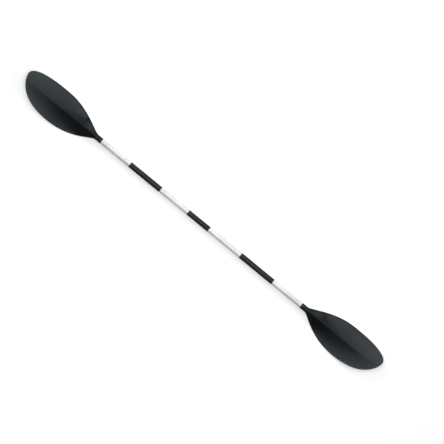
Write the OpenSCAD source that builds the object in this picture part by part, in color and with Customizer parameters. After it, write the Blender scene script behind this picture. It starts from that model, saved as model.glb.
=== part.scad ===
// Take-apart double-bladed kayak paddle, lying with its power faces up.
// X runs along the shaft, +Z is the power face, and +Y is the blades' long side.
// The origin is on the shaft's axis, halfway between the tips.

/* [Paddle] */
// Length from tip to tip
paddle_length = 2180; // [2100:10:2400]
// Outside diameter of the tubes and of the centre connector's collar
shaft_d = 27; // [26:0.5:29]
// Wall of the aluminium tubes
tube_wall = 1.2; // [1:0.1:1.5]

/* [Grips and collar] */
// Distance from the middle of the paddle to the outer end of each grip
grip_end = 441; // [400:1:480]
// Length of the left grip
grip_left_length = 190; // [150:1:220]
// Length of the right grip
grip_right_length = 200; // [150:1:220]
// Thickness of the grip sleeves
grip_wall = 0.75; // [0.6:0.05:1.5]
// Reach of the collar to the left of the middle
collar_left = 82; // [60:1:100]
// Reach of the collar to the right of the middle
collar_right = 47; // [40:1:100]

/* [Blade outline] */
// Length from the end of the neck to the tip
blade_length = 475; // [460:1:500]
// Diameter of the neck
neck_d = 27.8; // [27.6:0.1:29.8]
// Length of the round neck before the blade spreads
neck_length = 30; // [25:1:40]
// Distance from the end of the neck to the widest place
widest_at = 269; // [240:1:290]
// Half width on the long side
long_side = 83; // [70:1:90]
// Half width on the short side
short_side = 90; // [80:1:95]
// How far the tip lies to the long side of the axis
tip_offset = 31; // [20:0.5:35]

/* [Blade form] */
// Depth of the edges below the shaft's axis at the throat
edge_drop = 15.5; // [15:0.5:20]
// Height of the crest over the edges at the throat
crest_height = 19; // [12:0.5:22]
// Height of the crest over the edges at the tip
crest_at_tip = 2; // [1:0.5:4]
// How far the tip rises above the throat
tip_rise = 32; // [15:1:40]
// Half thickness along the crest at the throat
crest_half_t = 4.5; // [3:0.1:6]
// Half thickness at the rim
rim_half_t = 1.6; // [1.2:0.1:2.2]

/* [Snap joints] */
// Length of each spigot inside its tube
spigot_length = 60; // [50:1:70]
// Wall of the spigots
spigot_wall = 2.5; // [2:0.1:3]
// Distance from the mouth of a tube to its snap button
button_inset = 25; // [20:1:32]
// Diameter of the snap buttons
button_d = 7; // [6:0.5:8]
// How far a button stands out of the tube
button_proud = 1.5; // [1:0.1:2]
// Angle between the feather holes
feather_angle = 60; // [45:5:75]

/* [Hidden] */
// Radial play of a sliding fit, and of a sleeve or plug that stays put
fit_gap = 0.05;
shaft_r = shaft_d / 2;
tube_r = shaft_r - tube_wall;
spigot_r = tube_r - fit_gap;
spigot_bore_r = spigot_r - spigot_wall;
socket_depth = 45;
joint_x = paddle_length / 2 - blade_length;
tip_x = paddle_length / 2;
end_bevel = 1;

// The clip is a strip bent into a U, whose lower leg carries the button.
clip_w = 7;
clip_t = 0.8;
clip_reach = 9;
clip_leg = 28;
button_r = button_d / 2;
button_tip = shaft_r + button_proud;
button_dome_r = 2 * button_r;
// Radial play of the tubes' holes round the buttons
hole_play = 0.1;

// Each tube is kept afloat by two foam plugs, one past the end of each spigot.
plug_length = 40;
plug_gap = 8;

// A solid web in the middle of the connector parts its two bores.
web_length = 24;

// Lengths of the handles of the curves that make the blade's edges
shoulder_handle = 28;
long_in_handle = 123;
long_out_handle = 20;
long_tip_handle = 58;
short_in_handle = 146;
short_out_handle = 179;
short_tip_handle = 20;

// Where the round neck has become a thin blade, and where the edges begin to rise
throat_end = 135;
rise_start = 120;
// How hollow the flanks beside the crest are: 1 is flat
flank_power = 1.8;

// Rows along each half of the edge and points round each section
edge_steps = 15;
ring_points = 40;

$fn = 64;

// ---------- helpers ----------

LEFT = -1;
RIGHT = 1;

function collar_reach(side) = side == LEFT ? collar_left : collar_right;
function grip_length(side) = side == LEFT ? grip_left_length : grip_right_length;
function ease(x) = let (c = min(max(x, 0), 1)) c * c * (3 - 2 * c);
function mix(a, b, t) = a + (b - a) * t;
function bezier(p, t) =
    let (u = 1 - t)
    u * u * u * p[0] + 3 * u * u * t * p[1] + 3 * u * t * t * p[2] + t * t * t * p[3];

// Draws the right half's parts on either side of the middle.
module on_side(side) {
    if (side == LEFT)
        mirror([1, 0, 0]) children();
    else
        children();
}

// A round bar along X from one x to another
module bar(from, to, r) {
    translate([from, 0, 0]) rotate([0, 90, 0]) cylinder(h = to - from, r = r);
}

// A round bar whose far end is bevelled
module bevelled_bar(from, to, r) {
    bar(from, to - end_bevel, r);
    translate([to - end_bevel, 0, 0])
        rotate([0, 90, 0])
            cylinder(h = end_bevel, r1 = r, r2 = r - end_bevel);
}

// A hole through the lower wall, turned about the shaft's axis by an angle
module button_hole(x, angle, play) {
    rotate([angle, 0, 0])
        translate([x, 0, -shaft_d])
            cylinder(h = shaft_d, r = button_r + play);
}

// ---------- shaft ----------

// Black moulded connector: a flush collar with a hollow spigot at each end
module centre_connector() {
    color("#26282a")
        difference() {
            union() {
                bar(-collar_left, collar_right, shaft_r);
                for (side = [LEFT, RIGHT])
                    on_side(side)
                        bevelled_bar(0, collar_reach(side) + spigot_length, spigot_r);
            }
            for (side = [LEFT, RIGHT])
                on_side(side) {
                    bar(web_length / 2, collar_reach(side) + spigot_length + 1, spigot_bore_r);
                    button_hole(collar_reach(side) + button_inset, 0, fit_gap);
                }
        }
}

// Aluminium tube from the collar to the blade's neck
module tube(side) {
    inner_button = collar_reach(side) + button_inset;
    feather_holes = side == RIGHT ? [-feather_angle, 0, feather_angle] : [0];
    color("#d4d6d8")
        on_side(side)
            difference() {
                bar(collar_reach(side), joint_x, shaft_r);
                bar(collar_reach(side) - 1, joint_x + 1, tube_r);
                for (angle = feather_holes)
                    button_hole(inner_button, angle, hole_play);
                button_hole(joint_x - button_inset, 0, hole_play);
            }
}

// Thin rubber sleeve on the tube
module grip(side) {
    color("#2c2d2e")
        on_side(side)
            difference() {
                bar(grip_end - grip_length(side), grip_end, shaft_r + grip_wall);
                bar(grip_end - grip_length(side) - 1, grip_end + 1, shaft_r + fit_gap / 2);
            }
}

// Two closed-cell foam plugs that keep water out of the tube
module foam_plugs(side) {
    inner_x = collar_reach(side) + spigot_length + plug_gap;
    outer_x = joint_x - spigot_length - plug_gap - plug_length;
    color("#e9e4d6")
        on_side(side)
            for (x = [inner_x, outer_x])
                bar(x, x + plug_length, tube_r - fit_gap);
}

// ---------- snap clips ----------

// Spring strip: its bend lies deeper in the spigot than the button does
module spring_strip(x_button, towards) {
    bend_x = x_button + towards * clip_leg;
    bend_r = clip_reach;
    color("#b9bcc0")
        rotate([90, 0, 0])
            linear_extrude(clip_w, center = true)
                difference() {
                    union() {
                        translate([bend_x, 0]) circle(r = bend_r);
                        translate([towards > 0 ? x_button - button_r : bend_x, -bend_r])
                            square([clip_leg + button_r, 2 * bend_r]);
                    }
                    translate([bend_x, 0]) circle(r = bend_r - clip_t);
                    translate([towards > 0 ? x_button - button_r - 1 : bend_x, clip_t - bend_r])
                        square([clip_leg + button_r + 1, 2 * (bend_r - clip_t)]);
                }
}

// Steel button with a domed tip, standing on the strip
module snap_button(x_button) {
    color("#c6c8cb")
        translate([x_button, 0, 0])
            rotate([180, 0, 0])
                intersection() {
                    translate([0, 0, clip_reach])
                        cylinder(h = button_tip - clip_reach, r = button_r);
                    translate([0, 0, button_tip - button_dome_r])
                        sphere(r = button_dome_r);
                }
}

module connector_spring(side) {
    on_side(side)
        spring_strip(collar_reach(side) + button_inset, -1);
}

module connector_button(side) {
    on_side(side)
        snap_button(collar_reach(side) + button_inset);
}

module blade_spring(side) {
    on_side(side)
        spring_strip(joint_x - button_inset, 1);
}

module blade_button(side) {
    on_side(side)
        snap_button(joint_x - button_inset);
}

// ---------- blade ----------

// Hollow insert moulded into the neck, which slides into the tube
module blade_spigot(side) {
    color("#26282a")
        on_side(side)
            difference() {
                translate([joint_x, 0, 0])
                    rotate([0, 0, 180])
                        bevelled_bar(-socket_depth, spigot_length, spigot_r);
                bar(joint_x - spigot_length - 1, joint_x + socket_depth - spigot_wall, spigot_bore_r);
                button_hole(joint_x - button_inset, 0, fit_gap);
            }
}

shoulder_x = joint_x + neck_length;
widest_x = joint_x + widest_at;
neck_r = neck_d / 2;

// One edge of the blade as two curves, shoulder to widest place to tip
function edge_curves(half_w, sign, in_handle, out_handle, tip_handle) =
    let (w = sign * half_w, r = sign * neck_r, tip = [tip_x, tip_offset])
    [
        [
            [shoulder_x, r],
            [shoulder_x + shoulder_handle, r],
            [widest_x - in_handle, w],
            [widest_x, w]
        ],
        [
            [widest_x, w],
            [widest_x + out_handle, w],
            tip + [0, sign * tip_handle],
            tip
        ]
    ];

long_edge = edge_curves(long_side, 1, long_in_handle, long_out_handle, long_tip_handle);
short_edge = edge_curves(short_side, -1, short_in_handle, short_out_handle, short_tip_handle);

// A point on an edge, with s from 0 at the shoulder through 1 to 2 at the tip
function on_edge(edge, s) = s <= 1 ? bezier(edge[0], s) : bezier(edge[1], s - 1);

// Where the crest divides a section: on the axis, and midway at the very tip
function crest_share(long_p, short_p, s) =
    mix(-short_p[1] / (long_p[1] - short_p[1]), 0.5, ease((s - 1.6) / 0.35));

// How far x lies from the throat, at 0, towards the tip, at 1
function past_throat(x) =
    let (share = (x - joint_x - throat_end) / (blade_length - throat_end))
    min(max(share, 0), 1);

// Heights of the blade's middle surface at its edges, and anywhere: the crest stands
// over the axis, and the surface falls from it to the edges over the given reach.
function edge_z(x) =
    tip_rise * pow(max(0, (x - joint_x - rise_start) / (blade_length - rise_start)), 2) - edge_drop;
function middle_z(x, y, reach) =
    edge_z(x)
    + mix(crest_height, crest_at_tip, past_throat(x)) * pow(max(0, 1 - abs(y) / reach), flank_power);

// A point of the blade's skin. The section morphs from a circle at the shoulder
// into a thin roof with hollow flanks, and angle runs round it from the crest.
function skin_point(s, angle) =
    let (
        long_p = on_edge(long_edge, s),
        short_p = on_edge(short_edge, s),
        spine = mix(short_p, long_p, crest_share(long_p, short_p, s)),
        side = sin(angle),
        out = abs(side),
        edge_p = side > 0 ? long_p : short_p,
        p = mix(spine, edge_p, out),
        reach = s < 1 ? abs(edge_p[1]) : side > 0 ? long_side : short_side,
        crest_half = mix(crest_half_t, rim_half_t, past_throat(p[0])),
        half_t = mix(crest_half, rim_half_t, out),
        up = cos(angle),
        thin_z = middle_z(p[0], p[1], reach) + half_t * sign(up) * sqrt(abs(up)),
        flat = ease((p[0] - shoulder_x) / (throat_end - neck_length))
    )
    [p[0], p[1], mix(neck_r * up, thin_z, flat)];

function ring(s) = [for (k = [0:ring_points - 1]) skin_point(s, 360 * k / ring_points)];
function neck_ring(x) =
    [for (k = [0:ring_points - 1]) let (a = 360 * k / ring_points) [x, neck_r * sin(a), neck_r * cos(a)]];

// Closed skin over a stack of rings, with one point at the far end
module skin(rings, last_point) {
    n = len(rings);
    m = ring_points;
    points = concat([for (r = rings) each r], [last_point]);
    walls = [
        for (i = [0:n - 2], k = [0:m - 1])
            let (a = i * m + k, b = i * m + (k + 1) % m)
            each [[a, b, b + m], [a, b + m, a + m]]
    ];
    first_cap = [for (k = [m - 1:-1:0]) k];
    tip_fan = [for (k = [0:m - 1]) [(n - 1) * m + k, (n - 1) * m + (k + 1) % m, n * m]];
    polyhedron(points, concat([first_cap], walls, tip_fan));
}

// Asymmetric spooned blade with a crest along its power face and a round neck
module blade(side) {
    rings = concat(
        [neck_ring(joint_x)],
        [for (i = [0:2 * edge_steps - 1]) ring(i / edge_steps)]
    );
    tip = [tip_x, tip_offset, middle_z(tip_x, tip_offset, long_side)];
    color("#2b2f33")
        on_side(side)
            difference() {
                skin(rings, tip);
                bar(joint_x - 1, joint_x + socket_depth + fit_gap, spigot_r + fit_gap);
            }
}

centre_connector();
connector_spring(LEFT);  // connector_spring_left
connector_spring(RIGHT);  // connector_spring_right
connector_button(LEFT);  // connector_button_left
connector_button(RIGHT);  // connector_button_right
tube(LEFT);  // tube_left
tube(RIGHT);  // tube_right
grip(LEFT);  // grip_left
grip(RIGHT);  // grip_right
foam_plugs(LEFT);  // foam_plugs_left
foam_plugs(RIGHT);  // foam_plugs_right
blade(LEFT);  // blade_left
blade(RIGHT);  // blade_right
blade_spigot(LEFT);  // blade_spigot_left
blade_spigot(RIGHT);  // blade_spigot_right
blade_spring(LEFT);  // blade_spring_left
blade_spring(RIGHT);  // blade_spring_right
blade_button(LEFT);  // blade_button_left
blade_button(RIGHT);  // blade_button_right
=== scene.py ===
import math

import bpy
import numpy as np
from mathutils import Matrix, Vector


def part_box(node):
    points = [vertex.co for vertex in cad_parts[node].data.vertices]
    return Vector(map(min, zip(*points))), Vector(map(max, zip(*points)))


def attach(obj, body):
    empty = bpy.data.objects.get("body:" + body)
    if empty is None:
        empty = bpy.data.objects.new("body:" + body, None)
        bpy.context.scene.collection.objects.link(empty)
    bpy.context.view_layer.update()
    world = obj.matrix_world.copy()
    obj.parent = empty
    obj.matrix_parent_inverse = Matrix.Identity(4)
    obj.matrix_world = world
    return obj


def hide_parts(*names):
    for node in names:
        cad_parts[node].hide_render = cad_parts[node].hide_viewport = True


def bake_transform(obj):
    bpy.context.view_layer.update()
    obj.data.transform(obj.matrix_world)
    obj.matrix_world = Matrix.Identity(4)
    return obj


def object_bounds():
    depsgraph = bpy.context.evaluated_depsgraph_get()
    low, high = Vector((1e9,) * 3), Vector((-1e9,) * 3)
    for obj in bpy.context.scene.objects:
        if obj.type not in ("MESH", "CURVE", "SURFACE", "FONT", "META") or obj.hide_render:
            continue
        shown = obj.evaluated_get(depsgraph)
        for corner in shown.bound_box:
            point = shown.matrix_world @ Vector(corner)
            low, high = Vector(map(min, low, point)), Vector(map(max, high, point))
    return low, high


# A take-apart kayak paddle, power faces up, seen from straight above in a white studio.
# Metres throughout. X runs along the shaft and +Y is the blades' long side.

MM = 0.001
SIDES = {"left": -1, "right": 1}
CRISP_ANGLE = math.radians(45)

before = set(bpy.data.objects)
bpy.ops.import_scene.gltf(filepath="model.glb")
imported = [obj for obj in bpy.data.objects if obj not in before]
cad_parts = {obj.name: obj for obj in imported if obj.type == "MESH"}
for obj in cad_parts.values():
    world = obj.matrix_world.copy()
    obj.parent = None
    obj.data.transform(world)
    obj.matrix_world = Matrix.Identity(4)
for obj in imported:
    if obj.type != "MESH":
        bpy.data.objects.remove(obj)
cad_low, cad_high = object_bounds()


# ---------- meshes ----------

def ease(x):
    """Smooth step from 0 to 1."""
    x = np.clip(x, 0, 1)
    return x * x * (3 - 2 * x)


def mix(a, b, t):
    return a + (b - a) * t


def bezier(points, t):
    """Points on a cubic curve, one row for each t."""
    t = np.asarray(t, float)[:, None]
    u = 1 - t
    a, b, c, d = (np.array(p, float) for p in points)
    return u ** 3 * a + 3 * u * u * t * b + 3 * u * t * t * c + t ** 3 * d


def grid_faces(rings, around):
    """Quads between closed rings of points."""
    faces = []
    for i in range(rings - 1):
        for k in range(around):
            a = i * around + k
            b = i * around + (k + 1) % around
            faces.append((a, a + around, b + around, b))
    return faces


def mirrored(points, faces):
    """The same closed shape on the other side of the YZ plane."""
    return np.array(points, float) * (-1, 1, 1), [tuple(reversed(f)) for f in faces]


def make_piece(name, points, faces, replaced, material):
    """A smooth mesh piece that stands for a CAD node. Its sharper edges stay crisp."""
    mesh = bpy.data.meshes.new(name)
    mesh.from_pydata(np.array(points, float).tolist(), [], faces)
    mesh.validate()
    mesh.shade_smooth()
    mesh.set_sharp_from_angle(angle=CRISP_ANGLE)
    mesh.materials.append(material)
    piece = bpy.data.objects.new(name, mesh)
    bpy.context.scene.collection.objects.link(piece)
    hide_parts(replaced)
    return piece


def lathe(profile, around):
    """Points and faces of a closed profile of (x, radius) turned about the X axis."""
    angles = np.linspace(0, 2 * math.pi, around, endpoint=False)
    points = [(x, r * math.sin(a), r * math.cos(a)) for x, r in profile for a in angles]
    faces = grid_faces(len(profile), around)
    last = (len(profile) - 1) * around
    for k in range(around):
        n = (k + 1) % around
        faces.append((last + k, k, n, last + n))
    return points, faces


def turned_solid(profile, around):
    """Points and faces of an open (x, radius) profile turned about the X axis. Its ends lie on the axis."""
    (start_x, _), *rings, (end_x, _) = profile
    angles = np.linspace(0, 2 * math.pi, around, endpoint=False)
    points = [(x, r * math.sin(a), r * math.cos(a)) for x, r in rings for a in angles]
    faces = grid_faces(len(rings), around)
    last = (len(rings) - 1) * around
    for k in range(around):
        n = (k + 1) % around
        faces.append((k, n, len(points)))
        faces.append((last + n, last + k, len(points) + 1))
    points += [(start_x, 0, 0), (end_x, 0, 0)]
    return points, faces


# ---------- materials ----------

def new_material(name):
    material = bpy.data.materials.new(name)
    material.use_nodes = True
    nodes = material.node_tree.nodes
    return material, nodes, material.node_tree.links, nodes["Principled BSDF"]


def stretched_place(nodes, links, scale):
    """Object coordinates, scaled apart along X, Y and Z."""
    place = nodes.new("ShaderNodeTexCoord")
    mapping = nodes.new("ShaderNodeMapping")
    mapping.inputs["Scale"].default_value = scale
    links.new(place.outputs["Object"], mapping.inputs["Vector"])
    return mapping.outputs["Vector"]


def noise(nodes, links, vector, scale, detail=3, roughness=0.55):
    texture = nodes.new("ShaderNodeTexNoise")
    texture.inputs["Scale"].default_value = scale
    texture.inputs["Detail"].default_value = detail
    texture.inputs["Roughness"].default_value = roughness
    links.new(vector, texture.inputs["Vector"])
    return texture.outputs["Fac"]


def spread(nodes, links, value, low, high, from_low=0.35, from_high=0.65):
    """Stretches a value onto a range. The limits it starts from suit a noise value."""
    node = nodes.new("ShaderNodeMapRange")
    node.inputs["From Min"].default_value = from_low
    node.inputs["From Max"].default_value = from_high
    node.inputs["To Min"].default_value = low
    node.inputs["To Max"].default_value = high
    links.new(value, node.inputs["Value"])
    return node.outputs["Result"]


def tint(nodes, links, value, dark, light, from_low=0.35, from_high=0.65):
    """A colour between two, picked by a noise value."""
    ramp = nodes.new("ShaderNodeValToRGB")
    ramp.color_ramp.elements[0].position = from_low
    ramp.color_ramp.elements[1].position = from_high
    ramp.color_ramp.elements[0].color = (*dark, 1)
    ramp.color_ramp.elements[1].color = (*light, 1)
    links.new(value, ramp.inputs["Fac"])
    return ramp.outputs["Color"]


def bump(nodes, links, height, distance, strength=1.0, after=None):
    """A bump of some metres' depth, on top of another one if given."""
    node = nodes.new("ShaderNodeBump")
    node.inputs["Distance"].default_value = distance
    node.inputs["Strength"].default_value = strength
    links.new(height, node.inputs["Height"])
    if after is not None:
        links.new(after, node.inputs["Normal"])
    return node.outputs["Normal"]


def moulded_plastic(name, dark, light, rough_low, rough_high, sheen):
    """Injection-moulded plastic: fine spark-eroded grain, faint flow marks and handling scuffs."""
    material, nodes, links, shader = new_material(name)
    plain = stretched_place(nodes, links, (1, 1, 1))
    flow = stretched_place(nodes, links, (5, 40, 40))
    flow_marks = noise(nodes, links, flow, 1.0, detail=4)
    cloud = noise(nodes, links, plain, 26.0, detail=5)
    grain = noise(nodes, links, plain, 1400.0, detail=2)
    links.new(tint(nodes, links, cloud, dark, light), shader.inputs["Base Color"])
    links.new(spread(nodes, links, flow_marks, rough_low, rough_high), shader.inputs["Roughness"])
    grain_bump = bump(nodes, links, grain, 0.02 * MM)
    links.new(bump(nodes, links, cloud, 0.25 * MM, 0.35, grain_bump), shader.inputs["Normal"])
    shader.inputs["Specular IOR Level"].default_value = 0.26
    shader.inputs["Specular Tint"].default_value = (*sheen, 1)
    return material


def drawn_aluminium(name):
    """Satin anodised tube: fine lines along its length and soft cloudy patches."""
    material, nodes, links, shader = new_material(name)
    lines = stretched_place(nodes, links, (4, 900, 900))
    plain = stretched_place(nodes, links, (1, 1, 1))
    line_noise = noise(nodes, links, lines, 1.0, detail=4, roughness=0.7)
    cloud = noise(nodes, links, plain, 18.0, detail=4)
    dark, light = (0.46, 0.465, 0.47), (0.53, 0.535, 0.54)
    links.new(tint(nodes, links, cloud, dark, light), shader.inputs["Base Color"])
    links.new(spread(nodes, links, line_noise, 0.50, 0.66), shader.inputs["Roughness"])
    links.new(bump(nodes, links, line_noise, 0.006 * MM), shader.inputs["Normal"])
    shader.inputs["Metallic"].default_value = 0.25
    return material


def sleeve_rubber(name):
    """Matte rubber sleeve: pebbled skin, dusty lighter specks and a faint sheen."""
    material, nodes, links, shader = new_material(name)
    plain = stretched_place(nodes, links, (1, 1, 1))
    pebbles = nodes.new("ShaderNodeTexVoronoi")
    pebbles.inputs["Scale"].default_value = 900
    links.new(plain, pebbles.inputs["Vector"])
    cloud = noise(nodes, links, plain, 60.0, detail=5)
    dark, light = (0.003, 0.003, 0.003), (0.006, 0.006, 0.0058)
    links.new(tint(nodes, links, cloud, dark, light), shader.inputs["Base Color"])
    links.new(spread(nodes, links, cloud, 0.46, 0.58), shader.inputs["Roughness"])
    links.new(bump(nodes, links, pebbles.outputs["Distance"], 0.05 * MM), shader.inputs["Normal"])
    shader.inputs["Specular IOR Level"].default_value = 0.25
    return material


def bright_steel(name, rough_low, rough_high):
    """Rolled or turned stainless steel with fine scratches."""
    material, nodes, links, shader = new_material(name)
    across = stretched_place(nodes, links, (300, 3000, 300))
    scratch = noise(nodes, links, across, 1.0, detail=3)
    dark, light = (0.56, 0.57, 0.58), (0.66, 0.67, 0.68)
    links.new(tint(nodes, links, scratch, dark, light), shader.inputs["Base Color"])
    links.new(spread(nodes, links, scratch, rough_low, rough_high), shader.inputs["Roughness"])
    links.new(bump(nodes, links, scratch, 0.004 * MM), shader.inputs["Normal"])
    shader.inputs["Metallic"].default_value = 1.0
    return material


def cell_foam(name):
    """Closed-cell foam: small round cells in a pale body."""
    material, nodes, links, shader = new_material(name)
    plain = stretched_place(nodes, links, (1, 1, 1))
    cells = nodes.new("ShaderNodeTexVoronoi")
    cells.inputs["Scale"].default_value = 700
    links.new(plain, cells.inputs["Vector"])
    distance = cells.outputs["Distance"]
    middle, wall = (0.80, 0.77, 0.69), (0.62, 0.59, 0.51)
    links.new(tint(nodes, links, distance, middle, wall, 0.2, 0.7), shader.inputs["Base Color"])
    links.new(bump(nodes, links, distance, 0.2 * MM), shader.inputs["Normal"])
    shader.inputs["Roughness"].default_value = 0.85
    return material


BLADE_PLASTIC = moulded_plastic(
    "blade_plastic",
    dark=(0.0006, 0.0008, 0.0010),
    light=(0.0013, 0.0016, 0.0020),
    rough_low=0.30,
    rough_high=0.39,
    sheen=(0.80, 0.93, 1.0),
)
COLLAR_PLASTIC = moulded_plastic(
    "collar_plastic",
    dark=(0.0022, 0.0022, 0.0022),
    light=(0.0040, 0.0040, 0.0040),
    rough_low=0.42,
    rough_high=0.52,
    sheen=(0.88, 0.88, 0.88),
)
ALUMINIUM = drawn_aluminium("tube_aluminium")
GRIP_RUBBER = sleeve_rubber("grip_rubber")
STRIP_STEEL = bright_steel("strip_steel", rough_low=0.22, rough_high=0.34)
BUTTON_STEEL = bright_steel("button_steel", rough_low=0.12, rough_high=0.22)
FOAM = cell_foam("plug_foam")


# ---------- carried-over CAD nodes ----------

BROKEN_EDGE_ANGLE = math.radians(40)


def dress(node, material, bevel=0.0):
    """Gives a CAD node its material and, if asked, a small broken edge."""
    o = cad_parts[node]
    o.data.materials.clear()
    o.data.materials.append(material)
    if bevel:
        modifier = o.modifiers.new("broken_edge", "BEVEL")
        modifier.width = bevel
        modifier.segments = 2
        modifier.limit_method = "ANGLE"
        modifier.angle_limit = BROKEN_EDGE_ANGLE


dress("centre_connector", COLLAR_PLASTIC, 0.35 * MM)
for side in SIDES:
    dress(f"tube_{side}", ALUMINIUM, 0.2 * MM)
    dress(f"blade_spigot_{side}", COLLAR_PLASTIC)
    dress(f"foam_plugs_{side}", FOAM)


# ---------- snap buttons and springs ----------

STRIP_T = 0.8 * MM
STRIP_EDGE = 0.2 * MM
DOME_R = 7 * MM
DOME_EDGE = 0.4 * MM
PIN_CHAMFER = 0.2 * MM
PIN_AROUND = 48


def snap_button(name):
    """A short steel pin pointing down, with a domed tip and a rounded rim."""
    low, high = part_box(name)
    r = 0.5 * (high.x - low.x)
    dome_top = -low.z
    rim = dome_top - DOME_R + math.sqrt(DOME_R ** 2 - (r - DOME_EDGE) ** 2)
    base = -high.z
    turn = np.radians(np.linspace(0, 75, 5))
    edge = [(rim - DOME_EDGE * (1 - math.sin(a)), r - DOME_EDGE * (1 - math.cos(a))) for a in turn]
    dome_angles = np.linspace(math.asin((r - DOME_EDGE) / DOME_R), 0, 7)[1:]
    dome = [(dome_top - DOME_R * (1 - math.cos(a)), DOME_R * math.sin(a)) for a in dome_angles]
    profile = [(base, 0), (base, r - PIN_CHAMFER), (base + PIN_CHAMFER, r), *edge, *dome]
    points, faces = turned_solid(profile, PIN_AROUND)
    # The turned pin is stood on end: its X axis becomes -Z, at the button's place along the shaft.
    x = 0.5 * (low.x + high.x)
    points = [(x + pz, py, -px) for px, py, pz in points]
    piece = make_piece(f"snap_{name}", points, faces, name, BUTTON_STEEL)
    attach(piece, name)


def bent_strip(open_x, bend_x, out, r, half_w):
    """A flat strip bent into a U of radius r, open towards out. It starts at the upper leg's end."""
    leg = np.linspace(open_x, bend_x, 24)
    turn = np.linspace(0, math.pi, 25)[1:-1]
    path = [(x, r, 0.0, 1.0) for x in leg]
    path += [(bend_x - out * r * math.sin(a), r * math.cos(a), -out * math.sin(a), math.cos(a)) for a in turn]
    path += [(x, -r, 0.0, -1.0) for x in leg[::-1]]
    half_t = 0.5 * STRIP_T
    side_t, flat_w = half_t - STRIP_EDGE, half_w - STRIP_EDGE
    top = [(half_w, side_t), (flat_w, half_t), (-flat_w, half_t), (-half_w, side_t)]
    section = top + [(-y, -t) for y, t in top]
    n = len(section)
    points = [(x + nx * t, y, z + nz * t) for x, z, nx, nz in path for y, t in section]
    faces = grid_faces(len(path), n)
    faces.append(tuple(range(n)))
    faces.append(tuple(range(len(points) - n, len(points)))[::-1])
    if out < 0:
        faces = [tuple(reversed(f)) for f in faces]
    return points, faces


def snap_spring(name, button_name):
    """The strip under a snap button, bent into a U."""
    low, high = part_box(name)
    button_low, button_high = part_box(button_name)
    button_x = 0.5 * (button_low.x + button_high.x)
    # The bend is at the end farther from the button.
    out = 1 if button_x > 0.5 * (low.x + high.x) else -1
    open_x = high.x if out > 0 else low.x
    bend_x = (low.x if out > 0 else high.x) + out * high.z
    points, faces = bent_strip(open_x, bend_x, out, high.z - 0.5 * STRIP_T, high.y)
    piece = make_piece(f"snap_{name}", points, faces, name, STRIP_STEEL)
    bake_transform(piece)


for side in SIDES:
    snap_button(f"connector_button_{side}")
    snap_button(f"blade_button_{side}")
    snap_spring(f"connector_spring_{side}", f"connector_button_{side}")
    snap_spring(f"blade_spring_{side}", f"blade_button_{side}")


# ---------- grips ----------

GRIP_GAP = 0.02 * MM
GRIP_MARGIN = 0.08 * MM
GRIP_WAVE = 0.05 * MM
GRIP_WAVE_FADE = 10 * MM
GRIP_AROUND = 72


def grip_sleeve(side_name):
    """A rubber sleeve with rolled lips, shrunk a little unevenly onto the tube."""
    name = f"grip_{side_name}"
    low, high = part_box(name)
    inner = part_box(f"tube_{side_name}")[1].z + GRIP_GAP
    skin = high.z - GRIP_MARGIN
    lip = 0.8 * (high.z - inner)
    xs = np.linspace(low.x + lip, high.x - lip, 90)
    wave = GRIP_WAVE * (np.sin(xs * 310) + 0.7 * np.sin(xs * 173 + 1.3))
    wave *= ease((xs - low.x) / GRIP_WAVE_FADE) * ease((high.x - xs) / GRIP_WAVE_FADE)
    turn = np.radians(np.linspace(0, 90, 6))
    start = [(low.x + lip * (1 - math.cos(a)), mix(inner, skin, math.sin(a))) for a in turn]
    end = [(high.x - lip * (1 - math.cos(a)), mix(inner, skin, math.sin(a))) for a in turn[::-1]]
    profile = start[:-1] + list(zip(xs, skin + wave)) + end[1:]
    points, faces = lathe(profile, GRIP_AROUND)
    piece = make_piece(f"grip_sleeve_{side_name}", points, faces, name, GRIP_RUBBER)
    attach(piece, f"{side_name}_shaft")


for side in SIDES:
    grip_sleeve(side)


# ---------- blades ----------
# The blade's box gives its ends. The rest of its form repeats the CAD model's driving values.

blade_low, blade_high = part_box("blade_right")
JOINT_X, TIP_X = blade_low.x, blade_high.x
# Half widths. The long edge is on the +Y side and runs farther out, and the short edge bulges a little wider.
LONG_SIDE = 83 * MM
SHORT_SIDE = 90 * MM
NECK_R = 13.9 * MM
SOCKET_GAP = 0.05 * MM
SPIGOT_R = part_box("blade_spigot_right")[1].z
SOCKET_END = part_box("blade_spigot_right")[1].x

SHOULDER_X = JOINT_X + 30 * MM
SHOULDER_HANDLE = 28 * MM
WIDEST_X = JOINT_X + 269 * MM
THROAT_X = JOINT_X + 135 * MM
RISE_X = JOINT_X + 120 * MM
TIP = np.array((TIP_X, 31 * MM))

EDGE_DROP = 15.5 * MM
CREST_HEIGHT = 19 * MM
CREST_AT_TIP = 2 * MM
TIP_RISE = 32 * MM
FLANK_POWER = 1.8
CREST_RADIUS = 1.6 * MM

CREST_HALF_T = 3.2 * MM
RIM_HALF_T = 0.9 * MM
RIM_REACH = 1.5 * RIM_HALF_T
LIP_HEIGHT = 1.3 * MM
LIP_WIDTH = 5.0 * MM
LIP_FADE = 0.65
NECK_BEVEL = 0.8 * MM

SPINE_END = 0.72
SPINE_R = 7.5 * MM
SPINE_TAPER = 1.6
SPINE_SINK = 8 * MM
SPINE_FLATTENING = 0.2
SPINE_FILLET = 1.2 * MM

EDGE_STEPS = 64
EVEN_STEPS = 0.6
OUTLINE_STEPS = 400


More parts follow.
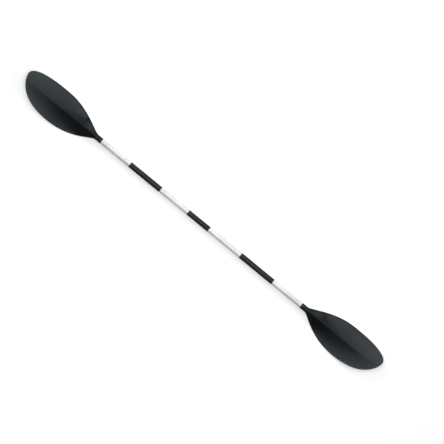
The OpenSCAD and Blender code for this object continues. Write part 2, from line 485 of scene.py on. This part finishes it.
def edge_points(s, half_width, sign, in_handle, out_handle, tip_handle):
    """One edge of the blade, for s from 0 at the shoulder through 1 at the widest place to 2 at the tip."""
    w = sign * half_width
    r = sign * NECK_R
    widening = [(SHOULDER_X, r), (SHOULDER_X + SHOULDER_HANDLE, r), (WIDEST_X - in_handle, w), (WIDEST_X, w)]
    closing = [(WIDEST_X, w), (WIDEST_X + out_handle, w), TIP + (0, sign * tip_handle), TIP]
    before = bezier(widening, np.minimum(s, 1))
    after = bezier(closing, np.maximum(s - 1, 0))
    return np.where((s <= 1)[:, None], before, after)


def long_edge(s):
    return edge_points(s, LONG_SIDE, 1, in_handle=123 * MM, out_handle=20 * MM, tip_handle=58 * MM)


def short_edge(s):
    return edge_points(s, SHORT_SIDE, -1, in_handle=146 * MM, out_handle=179 * MM, tip_handle=20 * MM)


def distance_to_outline(points):
    """How far each point in plan lies from the blade's edge."""
    s = np.linspace(0, 2, OUTLINE_STEPS)
    outline = np.vstack([long_edge(s), short_edge(s)[::-1]])
    a, b = outline[:-1], outline[1:]
    ab = b - a
    length2 = np.maximum((ab ** 2).sum(1), 1e-18)
    nearest = np.full(len(points), np.inf)
    for p0, d, l2 in zip(a, ab, length2):
        t = np.clip((points - p0) @ d / l2, 0, 1)
        nearest = np.minimum(nearest, np.hypot(*(points - p0 - t[:, None] * d).T))
    return nearest


def past_throat(x):
    """Share of the way from the throat to the tip."""
    return np.clip((x - THROAT_X) / (TIP_X - THROAT_X), 0, 1)


def middle_z(x, y, reach):
    """Height of the blade's middle surface: edges, spoon curve and crest."""
    rise = TIP_RISE * np.maximum(0, (x - RISE_X) / (TIP_X - RISE_X)) ** 2
    crest = mix(CREST_HEIGHT, CREST_AT_TIP, past_throat(x))
    off_axis = np.hypot(y, CREST_RADIUS) - CREST_RADIUS
    return rise - EDGE_DROP + crest * np.maximum(0, 1 - off_axis / reach) ** FLANK_POWER


def section_rows():
    """Shares of the way from the crest to the edge, close together at both."""
    # In millimetres, on a half section 85 wide.
    near_crest = [0, 0.5, 1.2, 2.2, 3.5, 5, 6.6, 8.2, 9.8, 11.5, 13.5, 16, 19, 23, 28, 34, 40, 46, 52, 58]
    near_rim = 85 - 22 * np.linspace(1, 0, 16) ** 2.2
    return np.concatenate([near_crest, near_rim]) / 85


def blade_points():
    """Rings of points round the blade from shoulder to tip, front and back."""
    out = section_rows()
    n = len(out)
    # Once round: front from the crest to the long edge, back to the short edge, front again to the crest.
    turn_out = np.concatenate([out, out[-2::-1], out[1:], out[-2:0:-1]])
    is_long = np.arange(len(turn_out)) < 2 * n - 1
    front = np.ones(len(turn_out), bool)
    front[n:3 * n - 3] = False
    on_rim = turn_out == 1
    s = 1 - np.cos(np.linspace(0, math.pi, 2 * EDGE_STEPS + 1)[:-1])
    s = mix(s, np.linspace(0, 2, 2 * EDGE_STEPS + 1)[:-1], EVEN_STEPS)
    longs, shorts = long_edge(s), short_edge(s)
    # The crest's row of points follows the axis, and near the tip it turns to midway between the edges.
    share = mix(-shorts[:, 1] / (longs[:, 1] - shorts[:, 1]), 0.5, ease((s - 1.6) / 0.35))
    crest_row = mix(shorts, longs, share[:, None])
    edge = np.where(is_long[None, :, None], longs[:, None, :], shorts[:, None, :])
    plan = mix(crest_row[:, None, :], edge, turn_out[None, :, None])
    x, y = plan[..., 0], plan[..., 1]
    widest = np.where(is_long, LONG_SIDE, SHORT_SIDE)[None, :]
    reach = np.where(s[:, None] < 1, np.abs(edge[..., 1]), widest)
    inset = distance_to_outline(plan.reshape(-1, 2)).reshape(x.shape)
    inset = np.where(on_rim[None, :], 0, inset)

    middle = middle_z(x, y, reach)
    half = mix(mix(CREST_HALF_T, RIM_HALF_T, past_throat(x)), RIM_HALF_T, turn_out[None, :])
    rounding = np.sqrt(1 - (1 - np.clip(inset / RIM_REACH, 0, 1)) ** 2)
    lip = LIP_HEIGHT * (1 - LIP_FADE * past_throat(x)) * (1 - ease(2 * inset / LIP_WIDTH - 1))
    top = middle + (half + lip) * rounding

    # The neck's underside runs on as a half-round spine that sinks into the blade's back.
    along = np.clip((x - SHOULDER_X) / (SPINE_END * (TIP_X - SHOULDER_X)), 0, 1)
    spine_r = mix(NECK_R, SPINE_R, ease(along * SPINE_TAPER))
    spine_z = middle_z(x, 0 * y, reach) - half * 0.4 + mix(0.0, SPINE_SINK, along)
    spine_low = spine_z - np.sqrt(np.maximum(spine_r ** 2 - y ** 2, 0)) * (1 - SPINE_FLATTENING * along)
    plate_low = middle - half * rounding
    lower = np.clip(0.5 + 0.5 * (plate_low - spine_low) / SPINE_FILLET, 0, 1)
    bottom = mix(plate_low, spine_low, lower) - SPINE_FILLET * lower * (1 - lower)
    bottom = np.where(np.abs(y) < spine_r, bottom, plate_low)

    # From the shoulder to the throat the round neck turns into the thin blade.
    thin_z = np.where(front[None, :], top, bottom)
    thin_z = np.where(on_rim[None, :], middle, thin_z)
    round_z = NECK_R * np.sqrt(1 - turn_out ** 2) * np.where(front, 1, -1)
    z = mix(round_z[None, :], thin_z, ease((x - SHOULDER_X) / (THROAT_X - SHOULDER_X)))
    return np.stack([x, y, z], -1)


def blade_shell(side_name):
    """A closed shell: socket in the neck, round neck, asymmetric spooned blade."""
    rings = blade_points()
    around = rings.shape[1]
    neck = rings[0]
    heading = neck[:, 1:] / np.hypot(neck[:, 1], neck[:, 2])[:, None]

    def round_ring(x, r):
        return np.column_stack([np.full(around, x), heading * r])

    socket_r = SPIGOT_R + SOCKET_GAP
    stack = [
        round_ring(SOCKET_END, socket_r),
        round_ring(JOINT_X, socket_r),
        round_ring(JOINT_X, NECK_R - NECK_BEVEL),
        round_ring(JOINT_X + 0.25 * NECK_BEVEL, NECK_R - 0.3 * NECK_BEVEL),
        round_ring(JOINT_X + NECK_BEVEL, NECK_R),
        round_ring(mix(JOINT_X, SHOULDER_X, 0.5), NECK_R),
        *rings,
    ]
    tip_z = middle_z(*TIP, LONG_SIDE)
    points = np.vstack([*stack, [(*TIP, tip_z)]])
    faces = grid_faces(len(stack), around)
    faces.append(tuple(range(around)))
    last = (len(stack) - 1) * around
    faces += [(last + (k + 1) % around, last + k, len(points) - 1) for k in range(around)]
    if SIDES[side_name] < 0:
        points, faces = mirrored(points, faces)
    name = f"blade_{side_name}"
    piece = make_piece(f"blade_shell_{side_name}", points, faces, name, BLADE_PLASTIC)
    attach(piece, f"{side_name}_blade")


for side in SIDES:
    blade_shell(side)


# ---------- studio ----------

FLOOR_HALF = 15.0
FLOOR_GREY = 0.40
# The floor glows, and more so on the -Y side, where less of the softbox's light falls. That keeps it white.
GLOW_NEAR = 0.49
GLOW_NEAR_Y = -0.1
GLOW_FAR = 0.78
GLOW_FAR_Y = -1.5
WORLD_LIGHT = 0.185

VIEW_WIDTH = 2.117
VIEW_TURN = math.radians(39.45)
VIEW_CENTRE = (0.0984, 0.0059)
LENS = 200.0
SENSOR = 36.0


def make_floor():
    """A pale, glowing floor at the height the paddle lies on."""
    mesh = bpy.data.meshes.new("floor")
    half = FLOOR_HALF
    corners = [(-half, -half), (half, -half), (half, half), (-half, half)]
    mesh.from_pydata([(x, y, cad_low.z) for x, y in corners], [], [(0, 1, 2, 3)])
    floor = bpy.data.objects.new("floor", mesh)
    bpy.context.scene.collection.objects.link(floor)
    material, nodes, links, shader = new_material("studio_floor")
    place = nodes.new("ShaderNodeTexCoord")
    split = nodes.new("ShaderNodeSeparateXYZ")
    links.new(place.outputs["Object"], split.inputs["Vector"])
    glow = spread(nodes, links, split.outputs["Y"], GLOW_FAR, GLOW_NEAR, GLOW_FAR_Y, GLOW_NEAR_Y)
    links.new(glow, shader.inputs["Emission Strength"])
    shader.inputs["Emission Color"].default_value = (1, 1, 1, 1)
    shader.inputs["Base Color"].default_value = (FLOOR_GREY, FLOOR_GREY, FLOOR_GREY, 1)
    shader.inputs["Roughness"].default_value = 0.9
    shader.inputs["Specular IOR Level"].default_value = 0.1
    mesh.materials.append(material)


def make_light(name, location, target, size, energy):
    """A rectangular lamp of that width and height, turned to face its target."""
    light = bpy.data.lights.new(name, "AREA")
    light.shape = "RECTANGLE"
    light.size, light.size_y = size
    light.energy = energy
    lamp = bpy.data.objects.new(name, light)
    bpy.context.scene.collection.objects.link(lamp)
    lamp.location = location
    lamp.rotation_mode = "QUATERNION"
    lamp.rotation_quaternion = (Vector(location) - Vector(target)).to_track_quat("Z", "Y")
    lamp.visible_camera = False


def make_world():
    world = bpy.data.worlds.new("studio")
    bpy.context.scene.world = world
    world.use_nodes = True
    background = world.node_tree.nodes["Background"]
    background.inputs["Color"].default_value = (1, 1, 1, 1)
    background.inputs["Strength"].default_value = WORLD_LIGHT


def make_camera():
    """A long lens straight above, turned so that the paddle runs down to the right as in the photo."""
    data = bpy.data.cameras.new("camera")
    data.lens = LENS
    data.sensor_width = SENSOR
    data.clip_end = 100.0
    camera = bpy.data.objects.new("camera", data)
    bpy.context.scene.collection.objects.link(camera)
    distance = VIEW_WIDTH * LENS / SENSOR
    turn = Matrix.Rotation(VIEW_TURN, 4, "Z")
    camera.matrix_world = turn @ Matrix.Translation((*VIEW_CENTRE, distance))
    bpy.context.scene.camera = camera


make_floor()
make_light("softbox", location=(0, 0.5, 2.2), target=(0, 0.5, 0), size=(1.6, 2.45), energy=56)
make_light("key_strip", location=(0, 3.2, 2.6), target=(0, 0, 0), size=(6.0, 0.4), energy=10.5)
for end in SIDES.values():
    place, target = (3.6 * end, 2.6, 1.9), (0.8 * end, 0, 0)
    make_light(f"end_fill_{end}", place, target, size=(2.5, 1.6), energy=150)
make_world()
make_camera()
bpy.context.scene.view_settings.view_transform = "Standard"
